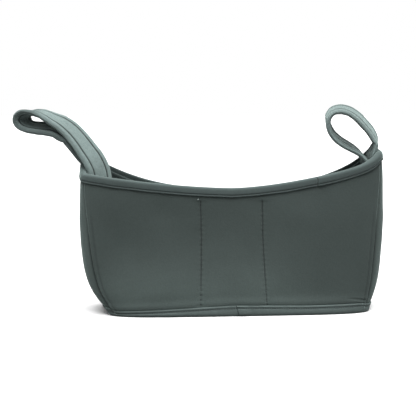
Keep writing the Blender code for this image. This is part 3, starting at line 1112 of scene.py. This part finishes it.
def left_strap_knots():
    """A flattened, twisted loop that leans out over the left end, both ends inside it."""
    end = MOUTH_SHIFT - half_length(1)
    # Centre from the end's outer face at the rim, then the width direction
    front_leg = [
        (0.0226, -0.0062, 0.1500, 0.86, 0.51, 0.00), (0.0226, -0.0055, 0.1660, 0.82, 0.56, 0.12),
        (0.0206, -0.0038, 0.1803, 0.72, 0.63, 0.28), (0.0145, -0.0029, 0.1935, 0.67, 0.66, 0.31),
        (0.0072, -0.0016, 0.2040, 0.59, 0.71, 0.35), (-0.0014, -0.0008, 0.2160, 0.50, 0.77, 0.38),
        (-0.0123, 0.0005, 0.2285, 0.42, 0.81, 0.40),
    ]
    # The way each of those knots runs, and how far the back leg slides inwards there
    runs = [
        ((0.00, 0.00, 1.00), 0.0040), ((-0.10, 0.00, 1.00), 0.0040),
        ((-0.40, 0.05, 0.91), 0.0030), ((-0.47, 0.08, 0.88), 0.0025),
        ((-0.56, 0.09, 0.82), 0.0006), ((-0.64, 0.09, 0.77), -0.0008),
        ((-0.78, 0.07, 0.63), -0.0010),
    ]
    bight = [
        (-0.0235, 0.0008, 0.2376, 0.33, 0.87, 0.37), (-0.0345, 0.0008, 0.2432, 0.28, 0.92, 0.25),
        (-0.0425, 0.0003, 0.2474, 0.28, 0.95, 0.15), (-0.0500, 0.0000, 0.2505, 0.34, 0.94, 0.07),
        (-0.0600, 0.0000, 0.2518, 0.42, 0.91, 0.01), (-0.0690, 0.0000, 0.2495, 0.52, 0.85, -0.03),
        (-0.0732, 0.0000, 0.2438, 0.57, 0.82, -0.01), (-0.0702, 0.0000, 0.2380, 0.56, 0.82, 0.06),
        (-0.0632, 0.0000, 0.2342, 0.49, 0.85, 0.16), (-0.0533, 0.0004, 0.2325, 0.40, 0.87, 0.26),
        (-0.0432, 0.0010, 0.2318, 0.32, 0.87, 0.33), (-0.0323, 0.0014, 0.2303, 0.31, 0.86, 0.38),
        (-0.0232, 0.0022, 0.2262, 0.37, 0.83, 0.40),
    ]
    back_leg = [behind(knot, way, slide) for knot, (way, slide) in zip(front_leg, runs)]
    path = front_leg + bight + back_leg[::-1]
    return [(end + x, *rest) for x, *rest in path]


def strap_section():
    """Closed section as (across, through): round folded edges, a stitch groove inside each."""
    flat = STRAP_WIDTH / 2 - STRAP_ROUND
    across = np.linspace(-flat, flat, 62)
    crown = STRAP_CROWN * (across / (STRAP_WIDTH / 2)) ** 2
    face = STRAP_THICK / 2 - crown - STRAP_GROOVE * stitch_groove(across)
    top = np.stack([across, face], axis=1)
    turn = np.radians([18, 36, 54, 72])
    middle = np.array([flat, STRAP_THICK / 2 - STRAP_CROWN - STRAP_ROUND])
    corner = middle + STRAP_ROUND * np.stack([np.sin(turn), np.cos(turn)], axis=1)
    side = np.array([(STRAP_WIDTH / 2 + 0.0001, height) for height in (0.0008, -0.0008)])
    edge = np.concatenate([corner, side, corner[::-1] * (1, -1)])
    return np.concatenate([top, edge, top[::-1] * (1, -1), edge[::-1] * (-1, 1)])


def stitch_groove(across):
    """1 at the bottom of each of the two stitched grooves, falling to 0 beside them."""
    return bell(np.abs(across) - STRAP_STITCH_ASIDE, GROOVE_WIDTH)


def strap_frames(knots):
    """Centre, width and thickness directions at even steps through the knots."""
    path = resample(curve(knots, 12), STRAP_STEP)
    centre, across = path[:, :3], path[:, 3:]
    along = np.gradient(centre, axis=0)
    along /= np.linalg.norm(along, axis=1)[:, None]
    across = across - (across * along).sum(axis=1)[:, None] * along
    across /= np.linalg.norm(across, axis=1)[:, None]
    through = np.cross(along, across)
    return centre, across, through


def make_strap(name, knots, material, seed, shaded_from, line_width):
    """One strap, with painted shade on its inner face, and on both faces from the share shaded_from of
    its length on. Returns its rows of stitches.
    """
    centre, across, through = strap_frames(knots)
    section = strap_section()
    run = lengths_along(centre)
    crinkle = waves((*STRAP_CRINKLE, seed), run[:, None], section[:, 0])
    crinkle += waves((*STRAP_BUCKLE, seed + 3), run[:, None], section[:, 0])
    scale = 1 + crinkle / (STRAP_THICK / 2)
    aside = np.abs(section[:, 0])
    # Painted shade in the stitched grooves
    crease = bell(aside - STRAP_STITCH_ASIDE, line_width) * (aside < STRAP_WIDTH / 2 - STRAP_ROUND)
    # Painted shade on the strap's inner face, and on both faces of its length from shaded_from on
    inner = smooth(0.0012, 0.0028, section[:, 1])
    shaded = smooth(shaded_from, shaded_from + 0.06, run / run[-1])
    painted_shade = np.maximum(inner[None, :], shaded[:, None])
    sections = (centre[:, None, :]
                + across[:, None, :] * section[None, :, 0, None]
                + through[:, None, :] * (section[None, :, 1] * scale)[..., None])
    marks = {"crease": crease[::-1], "painted_shade": painted_shade[:, ::-1]}
    obj = tube(name, sections[:, ::-1], material, (name,), marks=marks)
    rows = []
    for side in (-1, 1):
        for face in (-1, 1):
            line = centre + across * side * STRAP_STITCH_ASIDE
            line = line + through * face * (STRAP_THICK / 2 - STRAP_GROOVE)
            rows.append(stitches(line, through * face))
    return rows


# Sewing


def front_rows():
    """Rows down the two front lines and beside the end seams of the front and back."""
    rows = []
    for line in DIVIDER_AT:
        z = np.linspace(*LINE_STITCHES, 90)
        q = q_at(line_x(line, z), z)
        depth = wall_relief(0, q, z) + front_slump(q, z)
        rows.append(stitches(wall(q, z, depth), wall_normal(q, z)))
    z = np.linspace(*SEAM_STITCHES, 90)
    for side, slump in ((0, front_slump), (2, back_slump)):
        inset = SEAM_ALLOWANCE / side_length(side)
        for share in (inset, 1 - inset):
            q = side + share + 0 * z
            depth = wall_relief(side, q, z) + slump(q, z)
            rows.append(stitches(wall(q, z, depth), wall_normal(q, z)))
    return rows


def knot_rows():
    """The light knot that ends the left stitch line at its top."""
    _, head = DIVIDER_AT[0]
    z = KNOT_HEIGHT + np.array([0.0, 0.0005, 0.0011, 0.0016])
    x = head - KNOT_ASIDE + np.array([0.0, 0.0004, 0.0009, 0.0013])
    q = q_at(x, z)
    line = wall(q, z, front_slump(q, z) - 0.0003)
    return [stitches(line, wall_normal(q, z), pitch=0.0022, length=0.0020, radius=0.0006)]


def rim_rows():
    q = np.linspace(0, 4, SEWN_POINTS)
    z = rim_height(q) - RIM_STITCH_DROP
    normal = wall_normal(q, z)
    return [stitches(wall(q, z, RIM_THREAD), normal), stitches(wall(q, z, LINING_THREAD), -normal)]


def band_rows():
    q = np.linspace(0, 4, SEWN_POINTS)
    foot = wall(q, FLOOR)
    z = band_top(q, foot[:, 0]) - BAND_STITCH_DROP
    return [stitches(wall(q, z, BAND_THREAD), wall_normal(q, z))]


# Stage, lamps and camera


def make_stage():
    """A wide floor that takes the shadow, nearly white to see but dim in the light that it gives."""
    material, nodes = new_material("floor")
    tone = nodes.times(nodes.seen(), FLOOR_SEEN - FLOOR_BOUNCE)
    tone = nodes.plus(tone, FLOOR_BOUNCE)
    grey = nodes.add("ShaderNodeCombineColor", Red=tone, Green=tone, Blue=tone)
    nodes.finish(Base_Color=grey.outputs[0], Roughness=0.9, Specular_IOR_Level=0.0)
    mesh = bpy.data.meshes.new("floor")
    corners = [(x * FLOOR_REACH, y * FLOOR_REACH, 0) for x, y in ((-1, -1), (1, -1), (1, 1), (-1, 1))]
    mesh.from_pydata(corners, [], [(0, 1, 2, 3)])
    mesh.materials.append(material)
    add_object("floor", mesh)


def make_world():
    """Soft even light, seen as plain white by the camera and in reflections."""
    world = bpy.data.worlds.new("studio")
    bpy.context.scene.world = world
    world.use_nodes = True
    world.node_tree.nodes.clear()
    nodes = Nodes(world.node_tree)
    light = nodes.add("ShaderNodeBackground", Strength=AMBIENT)
    white = nodes.add("ShaderNodeBackground", Color=(1.0, 1.0, 1.0, 1.0))
    choose = nodes.add("ShaderNodeMixShader")
    for socket, value in zip(choose.inputs, (nodes.seen(), light.outputs[0], white.outputs[0])):
        nodes.put(socket, value)
    nodes.add("ShaderNodeOutputWorld", Surface=choose.outputs[0])


def add_sun(name, strength, turn):
    light = bpy.data.lights.new(name, "SUN")
    light.energy = strength
    light.angle = math.radians(SUN_ANGLE)
    add_object(name, light).rotation_euler = [math.radians(angle) for angle in turn]


def make_camera():
    camera = bpy.data.cameras.new("camera")
    camera.lens = LENS
    camera.sensor_width = 36.0
    obj = add_object("camera", camera)
    away = Vector((
        math.sin(AZIMUTH) * math.cos(ELEVATION),
        -math.cos(AZIMUTH) * math.cos(ELEVATION),
        math.sin(ELEVATION),
    ))
    obj.location = Vector(TARGET) + DISTANCE * away
    obj.rotation_euler = (-away).to_track_quat("-Z", "Y").to_euler()
    bpy.context.scene.camera = obj


def main():
    bpy.context.scene.view_settings.view_transform = "Standard"
    foam = cloth("foam_cloth", BODY, FOAM_KNIT, bump=0.00016)
    tape = cloth("binding_tape", TAPE_COLOUR, TAPE_KNIT, sheen=0.9)
    band = cloth("band_tape", BAND_COLOUR, TAPE_KNIT)
    lining = cloth("lining_cloth", LINING, LINING_KNIT)
    webbing = cloth("strap_cloth", STRAP, STRAP_KNIT, bump=0.00038, mottle=0.2, fleck=0.28, sheen=0.6)
    thread = thread_material("thread", THREAD)
    make_walls(foam)
    make_base(foam)
    make_rim(tape)
    make_band(band)
    make_pocket(lining, tape)
    make_divider("left_divider", DIVIDER_AT[0], lining, tape)
    make_divider("right_divider", DIVIDER_AT[1], lining, tape)
    left, right = left_strap_knots(), right_strap_knots()
    rows = make_strap("left_strap", left, webbing, 1.5, LEFT_SHADED_FROM, LEFT_LINE_WIDTH)
    rows += make_strap("right_strap", right, webbing, 6.5, 1.0, RIGHT_LINE_WIDTH)
    sew("strap_thread", rows, thread)
    sew("front_thread", front_rows(), thread)
    sew("front_knot", knot_rows(), thread_material("knot_thread", KNOT))
    sew("rim_thread", rim_rows(), thread)
    sew("band_thread", band_rows(), thread)
    make_stage()
    make_world()
    add_sun("top", *TOP_SUN)
    add_sun("front", *FRONT_SUN)
    add_sun("back", *BACK_SUN)
    make_camera()


main()
